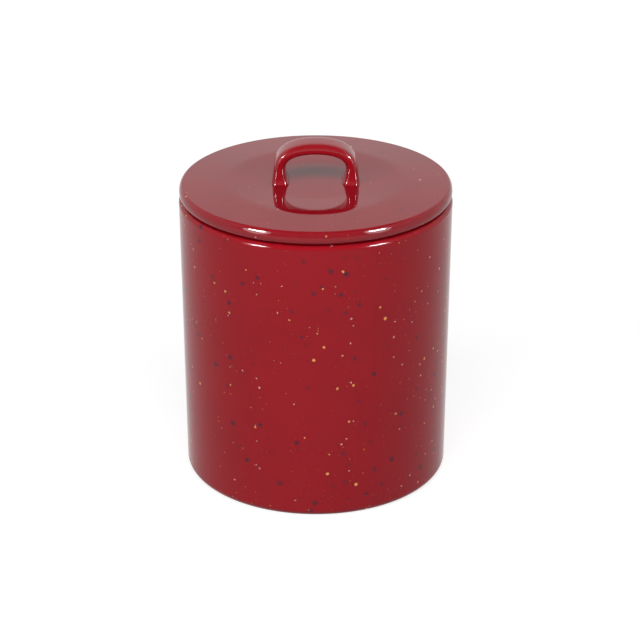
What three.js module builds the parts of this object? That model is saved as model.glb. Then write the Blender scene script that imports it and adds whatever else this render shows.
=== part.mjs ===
// Lidded stoneware jar: a glazed pot, a lid that drops into it on a ring-shaped
// flange, a strap handle fixed to the lid, and a soft sealing ring in the flange.
// Millimetres, +Z up. The origin is the centre of the face that the jar stands on.

import * as THREE from 'three';

// Pot
const lipRadius = 69.9;
const wallTaper = 1.5;
const potHeight = 149.6;
const wallThickness = 5.4;
const floorThickness = 5.0;
const lipRoundingOutside = 2.4;
const lipRoundingInside = 1.5;
const baseRounding = 3.9;
const floorFillet = 8.0;
const footWidth = 5.5;
const footDepth = 2.0;
const footRounding = 0.8;

// Lid
const lidGap = 0.3;
const lidSetback = 0.2;
const lidThickness = 7.5;
const lidFlatMargin = 3.8;
const lidCrestRadius = 45.0;
const lidCrestRise = 0.6;
const lidCrestRounding = 80.0;
const lidEdgeFall = 0.9;
const lidEdgeWidth = 2.1;
const lidUnderRounding = 3.2;
const lidHollowDepth = 1.8;
const flangeGap = 2.4;
const flangeThickness = 4.5;
const flangeShoulder = 3.0;
const flangeLip = 3.2;
const flangeRounding = 1.2;

// Groove in the flange and the sealing ring in it
const grooveHeight = 6.0;
const grooveDepth = 1.5;
const sealFit = 0.2;
const sealClearance = 0.3;
const sealBackThickness = 1.6;
const finThickness = 1.0;
const finTipThickness = 0.5;

// Strap handle
const handleSpan = 42.9;
const handleHeight = 21.6;
const strapThickness = 5.8;
const strapWidth = 15.2;
const strapEdgeAcross = 2.0;
const strapEdgeDeep = 4.0;
const footSpreadHeight = 11.0;
const footSpreadInside = 2.2;
const footSpreadOutside = 0.9;
const footFrontHeight = 6.0;
const footFront = 0.9;

// Shares and powers of the shapes, with no unit
const lipOutsideShare = 0.5;
const lipInsideShare = 0.35;
const lidUnderShare = 0.45;
const flangeRoundingShare = 0.4;
const floorFilletShare = 0.5;
const footRoundingShare = 0.4;
const finHeightShares = [0.18, 0.5, 0.82];
const strapEdgeShare = 0.8;
const outerCrownPower = 2.1;
const outerLegPower = 4.0;
const innerCrownPower = 2.05;
const innerLegPower = 5.5;
const footSpreadPower = 2;
const footFrontPower = 4;

// Steps of the turned shapes, the roundings and the handle
const turnSteps = 72;
const roundingSteps = 3;
const wideRoundingSteps = 5;
const archSteps = 32;

// Sizes that follow from the ones above
const baseRadius = lipRadius - wallTaper;
const boreRadius = lipRadius - wallThickness;
const boreFloorRadius = baseRadius - wallThickness;
const floorLevel = footDepth + floorThickness;
const footInnerRadius = baseRadius - baseRounding - footWidth;
const underLevel = potHeight + lidGap;
const lidTopLevel = underLevel + lidThickness;
const hollowLevel = underLevel + lidHollowDepth;
const lidRadius = lipRadius - lidSetback;
const lidCrestLevel = lidTopLevel + lidCrestRise;
const lidFlatRadius = handleSpan / 2 + lidFlatMargin;
const flangeRadius = boreRadius - flangeGap;
const flangeInnerRadius = flangeRadius - flangeThickness;
const grooveTop = underLevel - flangeShoulder;
const grooveBottom = grooveTop - grooveHeight;
const flangeBottom = grooveBottom - flangeLip;
const grooveRadius = flangeRadius - grooveDepth;
const sealInnerRadius = grooveRadius + sealFit;
const sealBackRadius = sealInnerRadius + sealBackThickness;
const sealBottom = grooveBottom + sealFit;
const sealHeight = grooveHeight - 2 * sealFit;

// Radius of the bore at a height: the wall leans out by the same amount as the outside does.
function boreRadiusAt(level) {
  return boreFloorRadius + (boreRadius - boreFloorRadius) * (level / potHeight);
}

const sealTipRadius = boreRadiusAt(sealBottom) - sealClearance;

// Materials
function finish(color, roughness) {
  return new THREE.MeshStandardMaterial({ color, roughness, metalness: 0 });
}

const glaze = () => finish('#98262c', 0.15);
const silicone = () => finish('#b9b4ab', 0.6);

// A corner of an outline: radius, height, and how far it is rounded.
function corner(radius, level, rounding = 0, steps = roundingSteps) {
  return { at: new THREE.Vector2(radius, level), rounding, steps };
}

// Points of an arc that rounds the corner between its two neighbours.
function arcAt(before, here, after) {
  const toBefore = before.at.clone().sub(here.at).normalize();
  const toAfter = after.at.clone().sub(here.at).normalize();
  const half = Math.acos(toBefore.dot(toAfter)) / 2;
  const reach = here.rounding / Math.tan(half);
  const inward = toBefore.clone().add(toAfter).normalize();
  const centre = here.at.clone().addScaledVector(inward, here.rounding / Math.sin(half));
  const start = here.at.clone().addScaledVector(toBefore, reach).sub(centre);
  const end = here.at.clone().addScaledVector(toAfter, reach).sub(centre);
  const sweep = Math.atan2(start.cross(end), start.dot(end));
  const points = [];
  for (let step = 0; step <= here.steps; step += 1) {
    const turned = start.clone().rotateAround(new THREE.Vector2(), (sweep * step) / here.steps);
    points.push(turned.add(centre));
  }
  return points;
}

// Outline with its corners rounded, in the order in which they are given.
function roundedOutline(corners) {
  const count = corners.length;
  return corners.flatMap((here, index) => {
    if (here.rounding === 0) return [here.at.clone()];
    const before = corners[(index + count - 1) % count];
    const after = corners[(index + 1) % count];
    return arcAt(before, here, after);
  });
}

// Body turned about the Z axis from an outline that runs anticlockwise.
function turned(outline) {
  const geometry = new THREE.LatheGeometry(outline, turnSteps);
  geometry.rotateX(Math.PI / 2);
  return geometry;
}

// Pot: foot ring, leaning wall, rounded lip, bore and floor.
function potGeometry() {
  const lipOutside = Math.min(lipRoundingOutside, wallThickness * lipOutsideShare);
  const lipInside = Math.min(lipRoundingInside, wallThickness * lipInsideShare);
  const fillet = Math.min(floorFillet, boreFloorRadius * floorFilletShare);
  const footEdge = Math.min(footRounding, Math.min(footWidth, footDepth) * footRoundingShare);
  return turned(roundedOutline([
    corner(0, footDepth),
    corner(footInnerRadius, footDepth, footEdge),
    corner(footInnerRadius, 0, footEdge),
    corner(baseRadius, 0, baseRounding, wideRoundingSteps),
    corner(lipRadius, potHeight, lipOutside, wideRoundingSteps),
    corner(boreRadius, potHeight, lipInside),
    corner(boreFloorRadius, floorLevel, fillet, wideRoundingSteps),
    corner(0, floorLevel),
  ]));
}

// Top of the lid from its rim inwards: a quarter of an ellipse that starts on the rounded
// lower edge, a gentle rise to the crest, and a gentle dip to the flat that carries the handle.
function lidTopCorners(underEdge) {
  const edgeStart = lidRadius - lidEdgeWidth;
  const edgeLevel = lidCrestLevel - lidEdgeFall;
  const edgeHeight = edgeLevel - underLevel - underEdge;
  const corners = [];
  for (let step = 1; step < wideRoundingSteps; step += 1) {
    const angle = (Math.PI / 2) * (step / wideRoundingSteps);
    const radius = edgeStart + lidEdgeWidth * Math.cos(angle);
    corners.push(corner(radius, edgeLevel - edgeHeight * (1 - Math.sin(angle))));
  }
  corners.push(corner(edgeStart, edgeLevel));
  corners.push(corner(lidCrestRadius, lidCrestLevel, lidCrestRounding));
  corners.push(corner(lidFlatRadius, lidTopLevel));
  return corners;
}

// Lid: dished plate with a rounded edge, hollow underside, and flange with a groove.
function lidGeometry() {
  const underEdge = Math.min(lidUnderRounding, lidThickness * lidUnderShare);
  const flangeEdge = Math.min(flangeRounding, (flangeThickness - grooveDepth) * flangeRoundingShare);
  return turned(roundedOutline([
    corner(0, hollowLevel),
    corner(flangeInnerRadius, hollowLevel, flangeEdge),
    corner(flangeInnerRadius, flangeBottom, flangeEdge),
    corner(flangeRadius, flangeBottom, flangeEdge),
    corner(flangeRadius, grooveBottom),
    corner(grooveRadius, grooveBottom),
    corner(grooveRadius, grooveTop),
    corner(flangeRadius, grooveTop),
    corner(flangeRadius, underLevel),
    corner(lidRadius, underLevel, underEdge, wideRoundingSteps),
    ...lidTopCorners(underEdge),
    corner(0, lidTopLevel),
  ]));
}

// Sealing ring: a back that lies in the groove, and fins that reach towards the bore.
function sealGeometry() {
  const outline = [corner(sealInnerRadius, sealBottom), corner(sealBackRadius, sealBottom)];
  for (const share of finHeightShares) {
    const level = sealBottom + sealHeight * share;
    outline.push(corner(sealBackRadius, level - finThickness / 2));
    outline.push(corner(sealTipRadius, level - finTipThickness / 2));
    outline.push(corner(sealTipRadius, level + finTipThickness / 2));
    outline.push(corner(sealBackRadius, level + finThickness / 2));
  }
  outline.push(corner(sealBackRadius, sealBottom + sealHeight));
  outline.push(corner(sealInnerRadius, sealBottom + sealHeight));
  outline.push(corner(sealInnerRadius, sealBottom));
  return turned(roundedOutline(outline));
}

// Point of an arch in its own plane: x across, y up. The crown's power makes the top flatter,
// and the leg's power keeps the legs upright for longer.
function archPoint(turn, halfSpan, height, crownPower, legPower) {
  const across = Math.cos(turn);
  const up = Math.max(Math.sin(turn), 0);
  const x = Math.sign(across) * halfSpan * Math.abs(across) ** (2 / crownPower);
  return new THREE.Vector2(x, height * up ** (2 / legPower));
}

// How far a foot has spread at a height above the lid: 1 on the lid, 0 above its reach.
function footSpread(height, reach, power) {
  return Math.max(1 - height / reach, 0) ** power;
}

// Points around the strap's section: which edge each belongs to, and its angle on that edge.
function sectionCorners() {
  const corners = [];
  for (const [across, along] of [[1, 1], [-1, 1], [-1, -1], [1, -1]]) {
    for (let step = 0; step <= roundingSteps; step += 1) {
      const start = Math.atan2(along, across) - Math.PI / 4;
      const angle = start + (Math.PI / 2) * (step / roundingSteps);
      corners.push({ across, along, angle });
    }
  }
  return corners;
}

// One ring of points around the strap, at a turn along the arch.
function strapRing(turn) {
  const outerSpan = handleSpan / 2;
  const innerSpan = outerSpan - strapThickness;
  const innerHeight = handleHeight - strapThickness;
  const outer = archPoint(turn, outerSpan, handleHeight, outerCrownPower, outerLegPower);
  const inner = archPoint(turn, innerSpan, innerHeight, innerCrownPower, innerLegPower);
  const side = Math.sign(outer.x);
  const middle = (outer.y + inner.y) / 2;
  outer.x += side * footSpreadOutside * footSpread(outer.y, footSpreadHeight, footSpreadPower);
  inner.x -= side * footSpreadInside * footSpread(inner.y, footSpreadHeight, footSpreadPower);
  const halfWidth = strapWidth / 2 + footFront * footSpread(middle, footFrontHeight, footFrontPower);
  const centre = outer.clone().add(inner).divideScalar(2);
  const outward = outer.clone().sub(inner);
  const halfThickness = outward.length() / 2;
  outward.normalize();
  const edgeAcross = Math.min(strapEdgeAcross, halfThickness * strapEdgeShare);
  const edgeDeep = Math.min(strapEdgeDeep, halfWidth * strapEdgeShare);
  return sectionCorners().map(({ across, along, angle }) => {
    const out = across * (halfThickness - edgeAcross) + edgeAcross * Math.cos(angle);
    const depth = along * (halfWidth - edgeDeep) + edgeDeep * Math.sin(angle);
    return [centre.x + outward.x * out, depth, centre.y + outward.y * out];
  });
}

// Strap handle: a rounded strap bent into an arch, with feet that spread on the lid.
function handleGeometry() {
  const positions = [];
  const triangles = [];
  const ringSize = sectionCorners().length;
  for (let step = 0; step <= archSteps; step += 1) {
    const turn = (Math.PI / 2) * (1 - Math.cos((Math.PI * step) / archSteps));
    positions.push(...strapRing(turn).flat());
  }
  for (let step = 0; step < archSteps; step += 1) {
    for (let index = 0; index < ringSize; index += 1) {
      const next = (index + 1) % ringSize;
      const here = step * ringSize;
      const beyond = here + ringSize;
      triangles.push(here + index, beyond + next, beyond + index);
      triangles.push(here + index, here + next, beyond + next);
    }
  }
  const last = archSteps * ringSize;
  for (let index = 1; index < ringSize - 1; index += 1) {
    triangles.push(0, index + 1, index);
    triangles.push(last, last + index, last + index + 1);
  }
  const geometry = new THREE.BufferGeometry();
  geometry.setAttribute('position', new THREE.Float32BufferAttribute(positions, 3));
  geometry.setIndex(triangles);
  geometry.computeVertexNormals();
  return geometry;
}

// One named piece of the jar.
function piece(name, geometry, material) {
  const mesh = new THREE.Mesh(geometry, material);
  mesh.name = name;
  return mesh;
}

const jar = new THREE.Group();
jar.add(piece('jar_body', potGeometry(), glaze()));

const lidAssembly = new THREE.Group();
lidAssembly.add(piece('lid', lidGeometry(), glaze()));
lidAssembly.add(piece('lid_seal', sealGeometry(), silicone()));

const handle = piece('lid_handle', handleGeometry(), glaze());
handle.position.z = lidTopLevel;
lidAssembly.add(handle);
jar.add(lidAssembly);

export default jar;
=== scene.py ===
"""A lidded stoneware jar in a red speckled glaze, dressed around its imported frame.

The jar has four pieces: the pot, the lid, the strap handle fired onto the lid, and the
sealing ring under it. Each has its own operator, and one more lays out the stage.
"""

import math
from typing import NamedTuple

import bpy
from bpy.props import FloatProperty, FloatVectorProperty, IntProperty, PointerProperty
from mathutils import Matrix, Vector


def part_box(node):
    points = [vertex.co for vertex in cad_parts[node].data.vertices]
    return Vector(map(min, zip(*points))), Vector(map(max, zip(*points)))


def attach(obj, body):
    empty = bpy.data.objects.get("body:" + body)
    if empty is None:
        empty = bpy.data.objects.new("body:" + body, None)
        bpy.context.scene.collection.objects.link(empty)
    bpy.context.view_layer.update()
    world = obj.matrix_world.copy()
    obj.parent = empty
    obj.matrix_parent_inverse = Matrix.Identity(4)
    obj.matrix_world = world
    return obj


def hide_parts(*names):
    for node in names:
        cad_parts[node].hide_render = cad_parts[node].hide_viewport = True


bl_info = {
    "name": "Lidded Stoneware Jar",
    "version": (1, 0, 0),
    "blender": (4, 5, 0),
    "location": "3D View > Sidebar > Jar",
    "description": "Builds a glazed stoneware jar with its lid, strap handle and sealing ring",
    "category": "Add Mesh",
}

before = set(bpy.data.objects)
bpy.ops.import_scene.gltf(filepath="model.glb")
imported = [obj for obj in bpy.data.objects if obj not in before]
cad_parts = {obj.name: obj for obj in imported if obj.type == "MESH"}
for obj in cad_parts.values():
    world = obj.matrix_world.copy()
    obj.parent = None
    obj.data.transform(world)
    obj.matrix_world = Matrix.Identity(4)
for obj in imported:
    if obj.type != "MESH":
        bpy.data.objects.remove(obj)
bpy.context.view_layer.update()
pot_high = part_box("jar_body")[1]
lid_low, lid_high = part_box("lid")
handle_low, handle_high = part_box("lid_handle")
seal_low, seal_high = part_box("lid_seal")

MM = 0.001

# A point nearer to the axis than this is on it
ON_AXIS = 0.000001 * MM

# Finishes of an outline's stretches: the piece's main material, or the bare clay
MAIN, BARE = 0, 1


def length(name, description, default):
    """A property that holds a length."""
    return FloatProperty(name=name, description=description, default=default, min=0, unit="LENGTH")


def angle(name, description, degrees):
    """A property that holds an angle, from its default in degrees."""
    default = math.radians(degrees)
    return FloatProperty(name=name, description=description, default=default, subtype="ANGLE")


def colour(name, description, default):
    """A property that holds a colour."""
    return FloatVectorProperty(
        name=name, description=description, default=default, min=0, max=1, size=3, subtype="COLOR"
    )


def count(name, description, default):
    """A property that holds a number of steps."""
    return IntProperty(name=name, description=description, default=default, min=3)


def number(name, description, default):
    """A property that holds a number with no unit."""
    return FloatProperty(name=name, description=description, default=default)


class PotSizes(bpy.types.PropertyGroup):
    """Sizes of the pot."""

    lip_radius: length("Lip radius", "Outer radius where the wall meets the lip's plane", 69.9 * MM)
    lean: length("Lean", "How much narrower the wall is at the base than at the lip", 1.5 * MM)
    height: length("Height", "From the foot's face to the top of the lip", pot_high.z)
    wall: length("Wall", "Thickness of the wall", 5.4 * MM)
    floor: length("Floor", "Thickness of the floor above the foot", 5 * MM)
    lip_outside: length("Lip outside", "Rounding of the lip's outer edge", 2.4 * MM)
    lip_inside: length("Lip inside", "Rounding of the lip's inner edge", 1.5 * MM)
    base_rounding: length("Base rounding", "Rounding where the wall turns under", 3.9 * MM)
    floor_fillet: length("Floor fillet", "Curve between the bore and the floor", 8 * MM)
    foot_width: length("Foot width", "Width of the bare ring that the pot stands on", 5.5 * MM)
    foot_depth: length("Foot depth", "Depth of the hollow inside the foot", 2 * MM)
    foot_edge: length("Foot edge", "Rounding of the foot's inner edges", 0.8 * MM)


class LidSizes(bpy.types.PropertyGroup):
    """Sizes of the lid."""

    radius: length("Radius", "Outer radius of the lid", lid_high.x)
    flat_margin: length("Flat margin", "Flat of the top beyond the handle's outer sides", 3.8 * MM)
    crest_radius: length("Crest radius", "Radius at which the top is highest", 45 * MM)
    crest_rise: length("Crest rise", "How far the top rises from its flat to the crest", 0.6 * MM)
    crest_rounding: length("Crest rounding", "Rounding of the crest and the flat's edge", 80 * MM)
    edge_fall: length("Edge fall", "How far the top falls from the crest to its edge", 0.9 * MM)
    edge: length("Edge", "Width of the curve that ends the top", 2.1 * MM)
    under_edge: length("Under edge", "Rounding of the lower edge", 3.2 * MM)
    gap: length("Gap", "Gap between the lip and the lid", 0.3 * MM)
    hollow: length("Hollow", "How far the underside is sunk inside the flange", 1.8 * MM)
    flange_gap: length("Flange gap", "Room between the flange and the bore", 2.4 * MM)
    flange: length("Flange", "Thickness of the flange", 4.5 * MM)
    flange_edge: length("Flange edge", "Rounding of the flange's edges", 1.2 * MM)
    shoulder: length("Shoulder", "Height of the flange above the groove", 3 * MM)
    groove_height: length("Groove height", "Height of the groove for the ring", 6 * MM)
    groove_depth: length("Groove depth", "Depth of the groove for the ring", 1.5 * MM)
    groove_edge: length("Groove edge", "Rounding of the groove's outer edges", 0.3 * MM)


class HandleSizes(bpy.types.PropertyGroup):
    """Sizes of the strap handle."""

    span: length("Span", "Width of the arch over its outer sides", 42.9 * MM)
    height: length("Height", "Height of the arch above the lid", handle_high.z - handle_low.z)
    thickness: length("Thickness", "Thickness of the strap", 5.8 * MM)
    width: length("Width", "Width of the strap from front to back", 15.2 * MM)
    edge_across: length("Edge across", "Rounding of the edges across the thickness", 2.0 * MM)
    edge_deep: length("Edge deep", "Rounding of the edges across the width", 4.0 * MM)
    foot_height: length("Foot height", "Height over which the feet spread sideways", 11 * MM)
    foot_rise: length("Foot rise", "Height over which the feet spread front and back", 6 * MM)
    foot_inside: length("Foot inside", "How far the feet spread towards the opening", 2.2 * MM)
    foot_outside: length("Foot outside", "How far the feet spread outwards", 0.9 * MM)
    foot_front: length("Foot front", "How far the feet spread front and back", 0.9 * MM)
    outer_crown: number("Outer crown", "How flat the top of the arch is on its outside", 2.1)
    outer_leg: number("Outer leg", "How upright the legs are on their outside", 4.0)
    inner_crown: number("Inner crown", "How flat the top of the arch is on its inside", 2.05)
    inner_leg: number("Inner leg", "How upright the legs are on their inside", 5.5)


class SealSizes(bpy.types.PropertyGroup):
    """Sizes of the sealing ring."""

    back: length("Back", "Thickness of the back that lies in the groove", 1.6 * MM)
    fin: length("Fin", "Thickness of a fin at its root", 1 * MM)
    fin_tip: length("Fin tip", "Thickness of a fin at its tip", 0.5 * MM)
    edge: length("Edge", "Rounding of the fins' tips and of the back's corners", 0.2 * MM)
    fit: length("Fit", "Room between the ring and its groove", 0.2 * MM)


class Finishes(bpy.types.PropertyGroup):
    """Colours of the glaze, the clay and the ring."""

    glaze: colour("Glaze", "Red body of the glaze", (0.3, 0.005, 0.0115))
    # Darker red where the glaze is thick; on the lid it is also painted shade for the lesser light
    # on its top
    glaze_deep: colour("Deep glaze", "Darker red where the glaze is thick", (0.21, 0.0035, 0.0095))
    dark_speck: colour("Dark speck", "Iron that bleeds into the glaze", (0.045, 0.014, 0.032))
    gold_speck: colour("Gold speck", "Ochre specks", (0.88, 0.3, 0.085))
    pale_speck: colour("Pale speck", "Pinholes and pale grains", (0.86, 0.4, 0.38))
    clay: colour("Clay", "Bare stoneware of the foot and the flange's edge", (0.46, 0.36, 0.26))
    silicone: colour("Silicone", "Sealing ring", (0.48, 0.46, 0.42))
    floor: colour("Floor", "Studio floor", (0.36, 0.36, 0.36))


class Fineness(bpy.types.PropertyGroup):
    """Steps of the turned and bent shapes."""

    around: count("Around", "Steps of a turned piece around its axis", 256)
    rounding: count("Rounding", "Steps of a small rounding", 8)
    wide_rounding: count("Wide rounding", "Steps of a wide rounding", 14)
    crest: count("Crest", "Steps of the gentle bends of the lid's top", 24)
    along: count("Along", "Steps along the strap", 132)
    strap_corner: count("Strap corner", "Steps of each rounded edge of the strap", 8)
    ring_corner: count("Ring corner", "Steps of each rounding of the sealing ring", 4)
    floor: count("Floor", "Steps of the studio floor around its centre", 96)


class StageSizes(bpy.types.PropertyGroup):
    """Where the camera and the lamps stand, and how bright the lamps are."""

    lens: number("Lens", "Focal length in millimetres, for a frame 36 mm wide", 130.93)
    camera_distance: length("Camera distance", "From the camera to the point it faces", 1.21726)
    camera_elevation: angle("Camera elevation", "How far above the horizon", 24.577)
    aim_height: length("Aim height", "Height of the point that the camera faces", 0.07926)
    aim_side: length("Aim side", "How far the camera stands to the right of the axis", 0.00216)
    floor_radius: length("Floor radius", "Radius of the floor", 4.0)
    lamp_aim: length("Lamp aim", "Height of the point on the axis that the lamps face", 0.09)
    left_azimuth: angle("Left azimuth", "From the front round to the left lamps", -48.5)
    left_radiance: number("Left radiance", "Radiance of the wide lamp on the left", 5.4)
    right_azimuth: angle("Right azimuth", "From the front round to the right lamps", 51.5)
    right_radiance: number("Right radiance", "Radiance of the wide lamp on the right", 3.5)
    shine_radiance: number("Shine radiance", "Radiance of the bright lamps in the glaze", 120.0)
    glow_radiance: number("Glow radiance", "Radiance of the tall lamps in the glaze", 5.5)
    key_radiance: number("Key radiance", "Radiance of the lamp above the camera", 8.5)


# Outlines and turned bodies


class Corner:
    """A corner of an outline: its place, how far it is rounded, and the finish after it."""

    def __init__(self, radius, height, rounding=0.0, steps=0, finish=MAIN):
        self.at = Vector((radius, height))
        self.rounding = rounding
        self.steps = steps
        self.finish = finish


def arc_at(before, here, after):
    """Points of the arc that rounds a corner between its two neighbours."""
    to_before = (before.at - here.at).normalized()
    to_after = (after.at - here.at).normalized()
    half = to_before.angle(to_after) / 2
    reach = here.rounding / math.tan(half)
    centre = here.at + (to_before + to_after).normalized() * (here.rounding / math.sin(half))
    start = here.at + to_before * reach - centre
    end = here.at + to_after * reach - centre
    sweep = math.atan2(start.x * end.y - start.y * end.x, start.dot(end))
    points = []
    for step in range(here.steps + 1):
        angle = sweep * step / here.steps
        c, s = math.cos(angle), math.sin(angle)
        points.append(centre + Vector((c * start.x - s * start.y, s * start.x + c * start.y)))
    return points


def rounded_outline(corners, closed=False):
    """Points of an outline with its corners rounded, each with the finish that follows it."""
    points = []
    for index, here in enumerate(corners):
        if here.rounding == 0:
            points.append((here.at.copy(), here.finish))
            continue
        after = corners[(index + 1) % len(corners)]
        points += [(point, here.finish) for point in arc_at(corners[index - 1], here, after)]
    return with_support(points, closed)


def with_support(points, closed, support=0.35 * MM, longest=12 * MM):
    """The outline with points near the ends of its long stretches, so that they shade flat."""
    made = []
    last = len(points) if closed else len(points) - 1
    for index in range(last):
        here, finish = points[index]
        after = points[(index + 1) % len(points)][0]
        made.append((here, finish))
        span = (after - here).length
        if span < 4 * support:
            continue
        inner = max(1, math.ceil(span / longest))
        shares = [support / span, *[step / inner for step in range(1, inner)], 1 - support / span]
        made += [(here.lerp(after, share), finish) for share in shares]
    if not closed:
        made.append(points[-1])
    return made


def turned_mesh(name, outline, steps, closed=False):
    """A mesh turned about the Z axis from an outline that runs anticlockwise."""
    vertices, faces, finishes, rings = [], [], [], []
    for point, _ in outline:
        start = len(vertices)
        if point.x < ON_AXIS:
            vertices.append((0.0, 0.0, point.y))
            rings.append([start] * steps)
            continue
        for step in range(steps):
            angle = math.tau * step / steps
            vertices.append((point.x * math.cos(angle), point.x * math.sin(angle), point.y))
        rings.append(list(range(start, start + steps)))
    stretches = len(rings) if closed else len(rings) - 1
    for index in range(stretches):
        low, high = rings[index], rings[(index + 1) % len(rings)]
        for step in range(steps):
            after = (step + 1) % steps
            face = list(dict.fromkeys((low[step], low[after], high[after], high[step])))
            faces.append(face)
            finishes.append(outline[index][1])
    mesh = bpy.data.meshes.new(name)
    mesh.from_pydata(vertices, [], faces)
    mesh.polygons.foreach_set("use_smooth", [True] * len(faces))
    mesh.polygons.foreach_set("material_index", finishes)
    mesh.validate()
    mesh.update()
    return mesh


def add_piece(name, mesh, materials, body, node):
    """Puts a piece into the scene in the place of a CAD node."""
    piece = bpy.data.objects.new(name, mesh)
    bpy.context.scene.collection.objects.link(piece)
    for material in materials:
        mesh.materials.append(material)
    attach(piece, body)
    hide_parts(node)
    return piece


# Materials


class Graph:
    """A short way to write a material's or a world's nodes."""

    def __init__(self, tree):
        self.tree = tree
        tree.nodes.clear()

    def node(self, kind, inputs=None, **settings):
        """Adds a node, sets its settings, and fills its inputs with values or other outputs."""
        made = self.tree.nodes.new(kind)
        for key, value in settings.items():
            setattr(made, key, value)
        for key, value in (inputs or {}).items():
            socket = made.inputs[key]
            if isinstance(value, bpy.types.NodeSocket):
                self.tree.links.new(value, socket)
            else:
                socket.default_value = value
        return made

    def maths(self, operation, *values):
        """The result of a sum on numbers or outputs."""
        return self.node("ShaderNodeMath", dict(enumerate(values)), operation=operation).outputs[0]

    def noise(self, place, scale, detail=2.0):
        """A noise value at a place, at a number of waves in a metre."""
        inputs = {"Vector": place, "Scale": scale, "Detail": detail}
        return self.node("ShaderNodeTexNoise", inputs).outputs["Fac"]

    def ease(self, value, low, high, start=0.0, end=1.0):
        """A smooth ramp from start at low to end at high."""
        inputs = {"Value": value, "From Min": low, "From Max": high, "To Min": start, "To Max": end}
        node = self.node("ShaderNodeMapRange", inputs, interpolation_type="SMOOTHSTEP")
        return node.outputs["Result"]

    def mix(self, share, under, over):
        """Two colours mixed by a share of the second."""
        node = self.node("ShaderNodeMix", data_type="RGBA")
        # A mix node lists its sockets for numbers and vectors before those for colours
        factor, first, second = node.inputs[0], node.inputs[6], node.inputs[7]
        for socket, value in ((factor, share), (first, under), (second, over)):
            if isinstance(value, bpy.types.NodeSocket):
                self.tree.links.new(value, socket)
            else:
                socket.default_value = value
        return node.outputs[2]

    def bump(self, height):
        """A normal that follows a height in metres."""
        inputs = {"Height": height, "Strength": 1.0, "Distance": 1.0}
        return self.node("ShaderNodeBump", inputs).outputs[0]

    def surface(self, inputs):
        """Ends a material in a shader with these inputs."""
        shader = self.node("ShaderNodeBsdfPrincipled", inputs)
        self.node("ShaderNodeOutputMaterial", {"Surface": shader.outputs[0]})


def new_material(name):
    """A material, and the graph of its nodes."""
    material = bpy.data.materials.new(name)
    material.use_nodes = True
    return material, Graph(material.node_tree)


def rgba(values):
    """A colour with its alpha."""
    return (*values, 1.0)


class Speck(NamedTuple):
    """A kind of speck: colour, spacing, largest radius, soft part, part kept, and strength."""

    colour: str
    spacing: float
    radius: float
    softness: float
    kept: float
    strength: float = 1.0


# The specks of the glaze, from the lowest layer up
SPECKS = {
    "sand": Speck("pale_speck", 2.2 * MM, 0.45 * MM, 0.6, 0.45, 0.12),
    "dark": Speck("dark_speck", 8.0 * MM, 2.4 * MM, 0.85, 0.8, 0.9),
    "fine_dark": Speck("dark_speck", 4.5 * MM, 1.1 * MM, 0.85, 0.6, 0.6),
    "gold_ring": Speck("dark_speck", 7.0 * MM, 1.8 * MM, 0.5, 0.5, 0.45),
    "gold": Speck("gold_speck", 7.0 * MM, 1.1 * MM, 0.4, 0.5),
    "fine_gold": Speck("gold_speck", 3.2 * MM, 0.5 * MM, 0.5, 0.3, 0.6),
    "pale": Speck("pale_speck", 4.5 * MM, 0.7 * MM, 0.45, 0.35, 0.85),
}
DARK_KINDS = ("dark", "fine_dark")
CLAY_IRON = Speck("dark_speck", 3.0 * MM, 0.35 * MM, 0.4, 0.4)

# The smallest specks of a kind have this share of its largest radius
SMALLEST_SHARE = 0.4

# Noise between which a finish changes softly from one tone to another
SOFT_NOISE = (0.3, 0.7)

# Drifts: waves in a metre, the noise at which they start and end, and the thinnest and thickest
DRIFT_WAVES, DRIFT_START, DRIFT_END = 45.0, 0.35, 0.65
DRIFT_THIN, DRIFT_THICK = 0.35, 1.65

# Glaze: waves in a metre, and the size of each kind of unevenness
RAGGED_WAVES, RAGGED = 900.0, 0.9 * MM
CLOUD_WAVES, CLOUD_NOISE = 38.0, (0.35, 0.7)
GRAIN_WAVES, GRAIN_NOISE = 1400.0, (0.3, 0.75)
UNEVEN = 0.22
PEEL_WAVES, PEEL = 160.0, 0.006 * MM
SWELL_WAVES, SWELL = 22.0, 0.02 * MM
PIT_DEPTH = 0.02 * MM
GLOSS_WAVES, SMOOTHEST, ROUGHEST = 70.0, 0.04, 0.065

# Clay and silicone: waves in a metre, depth of the grain, and the shade of the darker patches
CLAY_WAVES, CLAY_SHADE, CLAY_ROUGHNESS = 420.0, 0.72, 0.88
SAND_WAVES, SAND = 2600.0, 0.05 * MM
SILICONE_WAVES, SILICONE_SHADE, SILICONE_REFRACTION = 180.0, 0.86, 1.41
SKIN_WAVES, SKIN = 3200.0, 0.012 * MM
DUST_WAVES, CLEAN, DUSTY = 300.0, 0.42, 0.58


def speck_share(graph, place, speck, share):
    """How far a kind of speck covers a place: grains in loose drifts, a share of them kept."""
    grains = graph.node("ShaderNodeTexVoronoi", {"Vector": place, "Scale": 1 / speck.spacing})
    chance = graph.node("ShaderNodeSeparateColor", {"Color": grains.outputs["Color"]})
    kept = speck.kept * share
    waves = graph.noise(grains.outputs["Position"], DRIFT_WAVES, 1.0)
    drift = graph.ease(waves, DRIFT_START, DRIFT_END, DRIFT_THIN * kept, DRIFT_THICK * kept)
    distance = graph.maths("MULTIPLY", grains.outputs["Distance"], speck.spacing)
    smallest = SMALLEST_SHARE * speck.radius
    size = graph.maths("MULTIPLY_ADD", chance.outputs[0], speck.radius - smallest, smallest)
    edge = graph.maths("MULTIPLY", size, 1 - speck.softness)
    cover = graph.ease(distance, edge, size, 1.0, 0.0)
    there = graph.maths("LESS_THAN", chance.outputs[1], drift)
    return graph.maths("MULTIPLY", cover, there)


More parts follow.
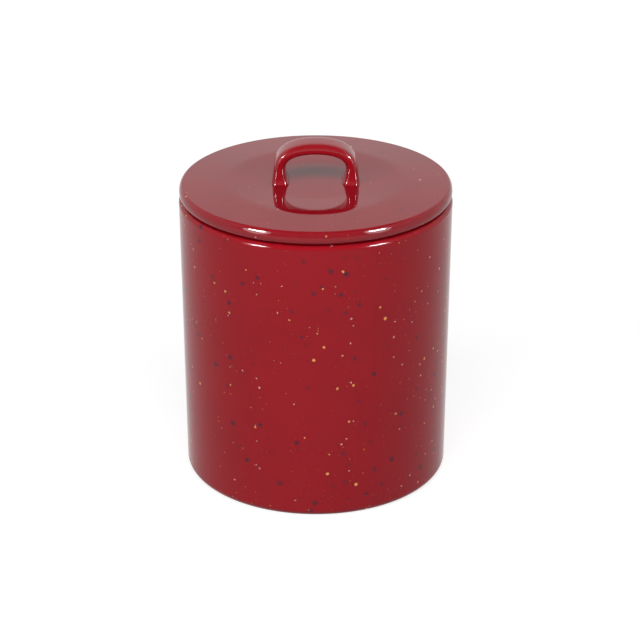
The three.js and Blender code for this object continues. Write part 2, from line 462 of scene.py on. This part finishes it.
def speckled_glaze(name, finishes, refraction, dark_share, bright_share, depth):
    """Glossy red stoneware glaze of a depth, with shares of its dark and of its bright specks."""
    material, graph = new_material(name)
    place = graph.node("ShaderNodeTexCoord").outputs["Object"]
    inputs = {"Vector": place, "Scale": RAGGED_WAVES, "Detail": 1.0}
    ragged = graph.node("ShaderNodeTexNoise", inputs)
    inputs = {0: ragged.outputs["Color"], 1: (RAGGED, RAGGED, RAGGED)}
    shift = graph.node("ShaderNodeVectorMath", inputs, operation="MULTIPLY").outputs[0]
    strewn = graph.node("ShaderNodeVectorMath", {0: place, 1: shift}, operation="ADD").outputs[0]

    clouds = graph.ease(graph.noise(place, CLOUD_WAVES, 3.0), *CLOUD_NOISE)
    grain = graph.ease(graph.noise(place, GRAIN_WAVES), *GRAIN_NOISE)
    uneven = graph.maths("MULTIPLY_ADD", grain, UNEVEN, graph.maths("MULTIPLY", clouds, UNEVEN))
    # The red deepens with the uneven noise and with the depth; the lid's larger depth is painted
    # shade
    deep = graph.maths("ADD", uneven, depth)
    finish = graph.mix(deep, rgba(finishes.glaze), rgba(finishes.glaze_deep))

    for kind, speck in SPECKS.items():
        share = dark_share if kind in DARK_KINDS else bright_share
        cover = speck_share(graph, strewn, speck, share)
        strength = graph.maths("MULTIPLY", cover, speck.strength)
        finish = graph.mix(strength, finish, rgba(getattr(finishes, speck.colour)))
        if kind == "pale":
            pits = graph.maths("MULTIPLY", cover, -PIT_DEPTH)

    peel = graph.maths("MULTIPLY", graph.noise(place, PEEL_WAVES, 1.0), PEEL)
    swell = graph.maths("MULTIPLY", graph.noise(place, SWELL_WAVES, 1.0), SWELL)
    height = graph.maths("ADD", graph.maths("ADD", peel, swell), pits)
    rough = graph.ease(graph.noise(place, GLOSS_WAVES), *SOFT_NOISE, SMOOTHEST, ROUGHEST)
    inputs = {"Base Color": finish, "Roughness": rough, "IOR": refraction}
    graph.surface({**inputs, "Normal": graph.bump(height)})
    return material


def pot_glaze(finishes):
    """The pot's glaze, thick with specks."""
    settings = {"refraction": 1.25, "dark_share": 1.0, "bright_share": 1.0, "depth": -0.15}
    return speckled_glaze("pot_glaze", finishes, **settings)


def lid_glaze_with_painted_shade(finishes):
    """The lid's glaze, a deeper red than the pot's as painted shade for the lesser light on its
    top, and with fewer specks.
    """
    # Its larger depth darkens the red: painted shade for the lesser light that falls on the lid's
    # top
    settings = {"refraction": 1.36, "dark_share": 0.06, "bright_share": 0.26, "depth": 0.35}
    return speckled_glaze("lid_glaze_with_painted_shade", finishes, **settings)


def handle_glaze(finishes):
    """The handle's glaze, almost without specks."""
    settings = {"refraction": 1.4, "dark_share": 0.0, "bright_share": 0.1, "depth": 0.0}
    return speckled_glaze("handle_glaze", finishes, **settings)


def patchy(graph, place, waves, detail, colour, shade):
    """A colour with darker patches."""
    tone = graph.ease(graph.noise(place, waves, detail), *SOFT_NOISE)
    return graph.mix(tone, rgba(colour), rgba(value * shade for value in colour))


def bare_clay(finishes):
    """Unglazed stoneware: dry, sandy and a little uneven in colour."""
    material, graph = new_material("bare_clay")
    place = graph.node("ShaderNodeTexCoord").outputs["Object"]
    body = patchy(graph, place, CLAY_WAVES, 4.0, finishes.clay, CLAY_SHADE)
    iron = speck_share(graph, place, CLAY_IRON, 1.0)
    body = graph.mix(iron, body, rgba(finishes.dark_speck))
    sand = graph.maths("MULTIPLY", graph.noise(place, SAND_WAVES, 3.0), SAND)
    graph.surface({"Base Color": body, "Roughness": CLAY_ROUGHNESS, "Normal": graph.bump(sand)})
    return material


def milky_silicone(finishes):
    """Moulded silicone: milky, soft and slightly dusty."""
    material, graph = new_material("milky_silicone")
    place = graph.node("ShaderNodeTexCoord").outputs["Object"]
    body = patchy(graph, place, SILICONE_WAVES, 3.0, finishes.silicone, SILICONE_SHADE)
    skin = graph.maths("MULTIPLY", graph.noise(place, SKIN_WAVES), SKIN)
    rough = graph.ease(graph.noise(place, DUST_WAVES), *SOFT_NOISE, CLEAN, DUSTY)
    inputs = {"Base Color": body, "Roughness": rough, "IOR": SILICONE_REFRACTION}
    graph.surface({**inputs, "Normal": graph.bump(skin)})
    return material


def shared_material(make):
    """The material that a function makes, made the first time that it is asked for."""
    return bpy.data.materials.get(make.__name__) or make(bpy.context.scene.jar_finishes)


# Pieces


# Where the ring's fins stand, as shares of its height
FIN_SHARES = (0.18, 0.5, 0.82)

# The strap's edges take up at most this share of its half thickness and half width
EDGE_SHARE = 0.8

# How fast the handle's feet spread, sideways and to the front and back
SIDE_POWER, FRONT_POWER = 2, 4


class JAR_OT_pot(bpy.types.Operator):
    """Builds the pot, with its lip, bore, floor and bare foot ring"""

    bl_idname = "jar.pot"
    bl_label = "Pot"

    def execute(self, context):
        pot, fine = context.scene.jar_pot, context.scene.jar_fineness
        base = pot.lip_radius - pot.lean
        bore, bore_base = pot.lip_radius - pot.wall, base - pot.wall
        foot = base - pot.base_rounding - pot.foot_width
        level = pot.foot_depth + pot.floor
        small, wide = fine.rounding, fine.wide_rounding
        outline = rounded_outline([
            Corner(0, pot.foot_depth),
            Corner(foot, pot.foot_depth, pot.foot_edge, small),
            Corner(foot, 0, pot.foot_edge, small, BARE),
            Corner(base, 0, pot.base_rounding, wide),
            Corner(pot.lip_radius, pot.height, pot.lip_outside, wide),
            Corner(bore, pot.height, pot.lip_inside, small),
            Corner(bore_base, level, pot.floor_fillet, wide),
            Corner(0, level),
        ])
        mesh = turned_mesh("pot", outline, fine.around)
        materials = [shared_material(pot_glaze), shared_material(bare_clay)]
        add_piece("pot", mesh, materials, "jar", "jar_body")
        return {"FINISHED"}


def lid_top(lid, under, top, flat, fine):
    """The top of the lid from its rim inwards: an elliptical edge, a gentle crest, then a flat."""
    start = lid.radius - lid.edge
    crest = top + lid.crest_rise
    level = crest - lid.edge_fall
    height = level - under - lid.under_edge
    steps = 2 * fine.wide_rounding
    corners = []
    for step in range(1, steps + 1):
        angle = math.pi / 2 * step / steps
        radius = start + lid.edge * math.cos(angle)
        corners.append(Corner(radius, level - height * (1 - math.sin(angle))))
    corners.append(Corner(lid.crest_radius, crest, lid.crest_rounding, fine.crest))
    corners.append(Corner(flat, top, lid.crest_rounding, fine.crest))
    return corners


class JAR_OT_lid(bpy.types.Operator):
    """Builds the lid, with its rounded edge, flange and groove"""

    bl_idname = "jar.lid"
    bl_label = "Lid"

    def execute(self, context):
        scene = context.scene
        pot, lid, fine = scene.jar_pot, scene.jar_lid, scene.jar_fineness
        under, top = pot.height + lid.gap, handle_low.z
        flat = scene.jar_handle.span / 2 + lid.flat_margin
        hollow = under + lid.hollow
        flange = pot.lip_radius - pot.wall - lid.flange_gap
        flange_inside = flange - lid.flange
        groove_top = under - lid.shoulder
        groove_low = groove_top - lid.groove_height
        groove = flange - lid.groove_depth
        small = fine.rounding
        outline = rounded_outline([
            Corner(0, hollow),
            Corner(flange_inside, hollow, lid.flange_edge, small),
            Corner(flange_inside, lid_low.z, lid.flange_edge, small, BARE),
            Corner(flange, lid_low.z, lid.flange_edge, small),
            Corner(flange, groove_low, lid.groove_edge, small),
            Corner(groove, groove_low),
            Corner(groove, groove_top),
            Corner(flange, groove_top, lid.groove_edge, small),
            Corner(flange, under, lid.groove_edge, small),
            Corner(lid.radius, under, lid.under_edge, fine.wide_rounding),
            *lid_top(lid, under, top, flat, fine),
            Corner(0, top),
        ])
        mesh = turned_mesh("lid_plate", outline, fine.around)
        materials = [shared_material(lid_glaze_with_painted_shade), shared_material(bare_clay)]
        add_piece("lid_plate", mesh, materials, "lid", "lid")
        return {"FINISHED"}


def arch_point(turn, half_span, height, crown_power, leg_power):
    """Point of an arch: the powers set how flat its crown is and how upright its legs are."""
    across, up = math.cos(turn), max(math.sin(turn), 0.0)
    x = math.copysign(half_span * abs(across) ** (2 / crown_power), across)
    return Vector((x, height * up ** (2 / leg_power)))


def strap_ring(handle, turn, corner_steps):
    """One ring of points around the strap, at a turn along the arch."""
    outer_span, inner_height = handle.span / 2, handle.height - handle.thickness
    inner_span = outer_span - handle.thickness
    outer = arch_point(turn, outer_span, handle.height, handle.outer_crown, handle.outer_leg)
    inner = arch_point(turn, inner_span, inner_height, handle.inner_crown, handle.inner_leg)

    def spread(height, reach, power):
        return max(1 - height / reach, 0.0) ** power

    side = math.copysign(1.0, outer.x)
    outer.x += side * handle.foot_outside * spread(outer.y, handle.foot_height, SIDE_POWER)
    inner.x -= side * handle.foot_inside * spread(inner.y, handle.foot_height, SIDE_POWER)
    middle = (outer.y + inner.y) / 2
    half_width = handle.width / 2
    half_width += handle.foot_front * spread(middle, handle.foot_rise, FRONT_POWER)
    centre = (outer + inner) / 2
    outward = outer - inner
    half = outward.length / 2
    outward.normalize()
    edge_across = min(handle.edge_across, EDGE_SHARE * half)
    edge_deep = min(handle.edge_deep, EDGE_SHARE * half_width)
    ring = []
    for across, along in ((1, 1), (-1, 1), (-1, -1), (1, -1)):
        start = math.atan2(along, across) - math.pi / 4
        for step in range(corner_steps + 1):
            angle = start + math.pi / 2 * step / corner_steps
            out = across * (half - edge_across) + edge_across * math.cos(angle)
            depth = along * (half_width - edge_deep) + edge_deep * math.sin(angle)
            point = centre + outward * out
            ring.append((point.x, depth, handle_low.z + point.y))
    return ring


class JAR_OT_handle(bpy.types.Operator):
    """Builds the strap handle that stands on the lid"""

    bl_idname = "jar.handle"
    bl_label = "Strap handle"

    def execute(self, context):
        handle, fine = context.scene.jar_handle, context.scene.jar_fineness
        vertices, faces = [], []
        for step in range(fine.along + 1):
            turn = math.pi / 2 * (1 - math.cos(math.pi * step / fine.along))
            ring = strap_ring(handle, turn, fine.strap_corner)
            vertices += ring
        size = len(ring)
        for step in range(fine.along):
            for index in range(size):
                here, after = step * size + index, step * size + (index + 1) % size
                faces.append((here, after, after + size, here + size))
        last = fine.along * size
        faces.append(tuple(range(size - 1, -1, -1)))
        faces.append(tuple(range(last, last + size)))
        mesh = bpy.data.meshes.new("strap_handle")
        mesh.from_pydata(vertices, [], faces)
        mesh.polygons.foreach_set("use_smooth", [True] * (len(faces) - 2) + [False] * 2)
        mesh.update()
        materials = [shared_material(handle_glaze)]
        add_piece("strap_handle", mesh, materials, "lid", "lid_handle")
        return {"FINISHED"}


class JAR_OT_seal(bpy.types.Operator):
    """Builds the sealing ring that lies in the flange's groove"""

    bl_idname = "jar.seal"
    bl_label = "Sealing ring"

    def execute(self, context):
        scene = context.scene
        pot, lid, seal, fine = scene.jar_pot, scene.jar_lid, scene.jar_seal, scene.jar_fineness
        groove = pot.lip_radius - pot.wall - lid.flange_gap - lid.groove_depth
        inside, tip = groove + seal.fit, seal_high.x
        back = inside + seal.back
        low, high = seal_low.z, seal_high.z
        edge, steps = seal.edge, fine.ring_corner
        corners = [Corner(inside, low, edge, steps), Corner(back, low, edge, steps)]
        for share in FIN_SHARES:
            level = low + (high - low) * share
            corners += [
                Corner(back, level - seal.fin / 2),
                Corner(tip, level - seal.fin_tip / 2, edge, steps),
                Corner(tip, level + seal.fin_tip / 2, edge, steps),
                Corner(back, level + seal.fin / 2),
            ]
        corners += [Corner(back, high, edge, steps), Corner(inside, high, edge, steps)]
        outline = rounded_outline(corners, closed=True)
        mesh = turned_mesh("sealing_ring", outline, fine.around, closed=True)
        materials = [shared_material(milky_silicone)]
        add_piece("sealing_ring", mesh, materials, "seal", "lid_seal")
        return {"FINISHED"}


# Stage


# Width of the camera's frame in millimetres
FRAME_WIDTH = 36


class LampShape(NamedTuple):
    """A lamp's angle above the horizon, its distance, width and height, and its outline."""

    elevation: float
    distance: float
    width: float
    height: float
    outline: str = "RECTANGLE"


WIDE_LAMP = LampShape(math.radians(26), 1.5, 0.8, 0.8)
SHINE_LAMP = LampShape(math.radians(22.5), 1.5, 0.39, 0.26, "ELLIPSE")
GLOW_LAMP = LampShape(math.radians(17), 1.5, 0.6, 1.08, "ELLIPSE")
KEY_LAMP = LampShape(math.radians(55), 1.3, 0.6, 0.5)

# Strength of the sky as light, and as it is seen above and at the front, where 1 is white
SKY_LIGHT, SKY_ABOVE, SKY_FRONT = 0.25, 0.2, 0.4

# Between which directions the sky turns from its dim front to white, and from white to its dim top
FRONT_TURN, ABOVE_TURN = (-0.7, -0.1), (0.68, 0.8)

# Glow of the floor near the jar and far from it, and the camera's part on top
FLOOR_NEAR, FLOOR_FAR, FLOOR_EXTRA = 0.63, 0.77, 0.13
NEAR_REACH, FAR_REACH = 0.2, 1.0


def direction(azimuth, elevation):
    """Unit vector from the jar to a place: azimuth 0 is the front, and it grows to the right."""
    level = math.cos(elevation)
    return Vector((math.sin(azimuth) * level, -math.cos(azimuth) * level, math.sin(elevation)))


def add_lamp(name, azimuth, shape, radiance, aim):
    """A flat soft lamp that faces the jar."""
    data = bpy.data.lights.new(name, "AREA")
    data.shape = shape.outline
    data.size, data.size_y = shape.width, shape.height
    data.energy = radiance * math.pi * shape.width * shape.height
    lamp = bpy.data.objects.new(name, data)
    bpy.context.scene.collection.objects.link(lamp)
    lamp.location = aim + direction(azimuth, shape.elevation) * shape.distance
    lamp.rotation_euler = (aim - lamp.location).to_track_quat("-Z", "Y").to_euler()
    return lamp


def add_softbox(side, azimuth, radiance, stage, aim):
    """A wide lamp that lights the jar, and a bright and a tall one that show in its glaze."""
    wide = add_lamp(f"{side}_lamp", azimuth, WIDE_LAMP, radiance, aim)
    wide.visible_glossy = False
    shine = add_lamp(f"{side}_shine", azimuth, SHINE_LAMP, stage.shine_radiance, aim)
    shine.visible_diffuse = False
    glow = add_lamp(f"{side}_glow", azimuth, GLOW_LAMP, stage.glow_radiance, aim)
    glow.visible_diffuse = False


def seen_plainly(graph):
    """1 for camera, glossy and transmission rays, which see the studio as white."""
    rays = graph.node("ShaderNodeLightPath").outputs
    seen = graph.maths("MAXIMUM", rays["Is Camera Ray"], rays["Is Glossy Ray"])
    return graph.maths("MAXIMUM", seen, rays["Is Transmission Ray"])


def studio_floor(finishes):
    """Pale matt floor with the jar's shadow, lifted to white where it is seen, more so far out."""
    material, graph = new_material("studio_floor")
    matt = graph.node("ShaderNodeBsdfDiffuse", {"Color": rgba(finishes.floor)})
    place = graph.node("ShaderNodeTexCoord").outputs["Object"]
    out = graph.node("ShaderNodeVectorMath", {0: place}, operation="LENGTH").outputs["Value"]
    lift = graph.ease(out, NEAR_REACH, FAR_REACH, FLOOR_NEAR, FLOOR_FAR)
    camera = graph.node("ShaderNodeLightPath").outputs["Is Camera Ray"]
    extra = graph.maths("MULTIPLY", camera, FLOOR_EXTRA)
    strength = graph.maths("MULTIPLY_ADD", seen_plainly(graph), lift, extra)
    glow = graph.node("ShaderNodeEmission", {"Strength": strength})
    both = graph.node("ShaderNodeAddShader", {0: matt.outputs[0], 1: glow.outputs[0]})
    graph.node("ShaderNodeOutputMaterial", {"Surface": both.outputs[0]})
    return material


def studio_sky():
    """Even soft light, seen as white behind the jar, and dimmer high above and at the front."""
    world = bpy.data.worlds.new("studio")
    world.use_nodes = True
    graph = Graph(world.node_tree)
    towards = graph.node("ShaderNodeTexCoord").outputs["Generated"]
    parts = graph.node("ShaderNodeSeparateXYZ", {"Vector": towards}).outputs
    level = graph.ease(parts["Y"], *FRONT_TURN, SKY_FRONT, 1.0)
    above = graph.ease(parts["Z"], *ABOVE_TURN, 1.0, SKY_ABOVE)
    seen = graph.maths("MULTIPLY", above, level)
    extra = graph.maths("MULTIPLY", graph.maths("SUBTRACT", seen, SKY_LIGHT), seen_plainly(graph))
    strength = graph.maths("ADD", extra, SKY_LIGHT)
    sky = graph.node("ShaderNodeBackground", {"Color": (1, 1, 1, 1), "Strength": strength})
    graph.node("ShaderNodeOutputWorld", {"Surface": sky.outputs[0]})
    return world


class JAR_OT_stage(bpy.types.Operator):
    """Lays out the floor, the lamps, the sky of the studio and the camera"""

    bl_idname = "jar.stage"
    bl_label = "Stage"

    def execute(self, context):
        scene, stage = context.scene, context.scene.jar_stage
        outline = [(Vector((0, 0)), MAIN), (Vector((stage.floor_radius, 0)), MAIN)]
        mesh = turned_mesh("studio_floor", outline, scene.jar_fineness.floor)
        mesh.flip_normals()
        mesh.materials.append(studio_floor(scene.jar_finishes))
        floor = bpy.data.objects.new("studio_floor", mesh)
        scene.collection.objects.link(floor)

        lit = Vector((0, 0, stage.lamp_aim))
        add_softbox("left", stage.left_azimuth, stage.left_radiance, stage, lit)
        add_softbox("right", stage.right_azimuth, stage.right_radiance, stage, lit)
        key = add_lamp("key_lamp", 0, KEY_LAMP, stage.key_radiance, lit)
        key.visible_glossy = False

        scene.world = studio_sky()

        data = bpy.data.cameras.new("camera")
        data.sensor_width = FRAME_WIDTH
        data.lens = stage.lens
        camera = bpy.data.objects.new("camera", data)
        scene.collection.objects.link(camera)
        aim = Vector((stage.aim_side, 0, stage.aim_height))
        camera.location = aim + direction(0, stage.camera_elevation) * stage.camera_distance
        camera.rotation_euler = (aim - camera.location).to_track_quat("-Z", "Y").to_euler()
        scene.camera = camera
        scene.view_settings.view_transform = "Standard"
        return {"FINISHED"}


class JAR_PT_panel(bpy.types.Panel):
    """Lists the jar's pieces and its stage"""

    bl_idname = "JAR_PT_panel"
    bl_label = "Lidded jar"
    bl_space_type = "VIEW_3D"
    bl_region_type = "UI"
    bl_category = "Jar"

    def draw(self, context):
        for operator in OPERATORS:
            self.layout.operator(operator.bl_idname)


OPERATORS = (JAR_OT_pot, JAR_OT_lid, JAR_OT_handle, JAR_OT_seal, JAR_OT_stage)
GROUPS = {
    "jar_pot": PotSizes,
    "jar_lid": LidSizes,
    "jar_handle": HandleSizes,
    "jar_seal": SealSizes,
    "jar_finishes": Finishes,
    "jar_fineness": Fineness,
    "jar_stage": StageSizes,
}


def register():
    """Registers the groups, the operators and the panel."""
    for name, group in GROUPS.items():
        bpy.utils.register_class(group)
        setattr(bpy.types.Scene, name, PointerProperty(type=group))
    for made in (*OPERATORS, JAR_PT_panel):
        bpy.utils.register_class(made)


def unregister():
    """Takes them away again."""
    for made in reversed((*OPERATORS, JAR_PT_panel)):
        bpy.utils.unregister_class(made)
    for name, group in GROUPS.items():
        delattr(bpy.types.Scene, name)
        bpy.utils.unregister_class(group)


def main():
    """Builds the whole scene."""
    register()
    bpy.ops.jar.stage()
    bpy.ops.jar.pot()
    bpy.ops.jar.lid()
    bpy.ops.jar.handle()
    bpy.ops.jar.seal()


if __name__ == "__main__":
    main()
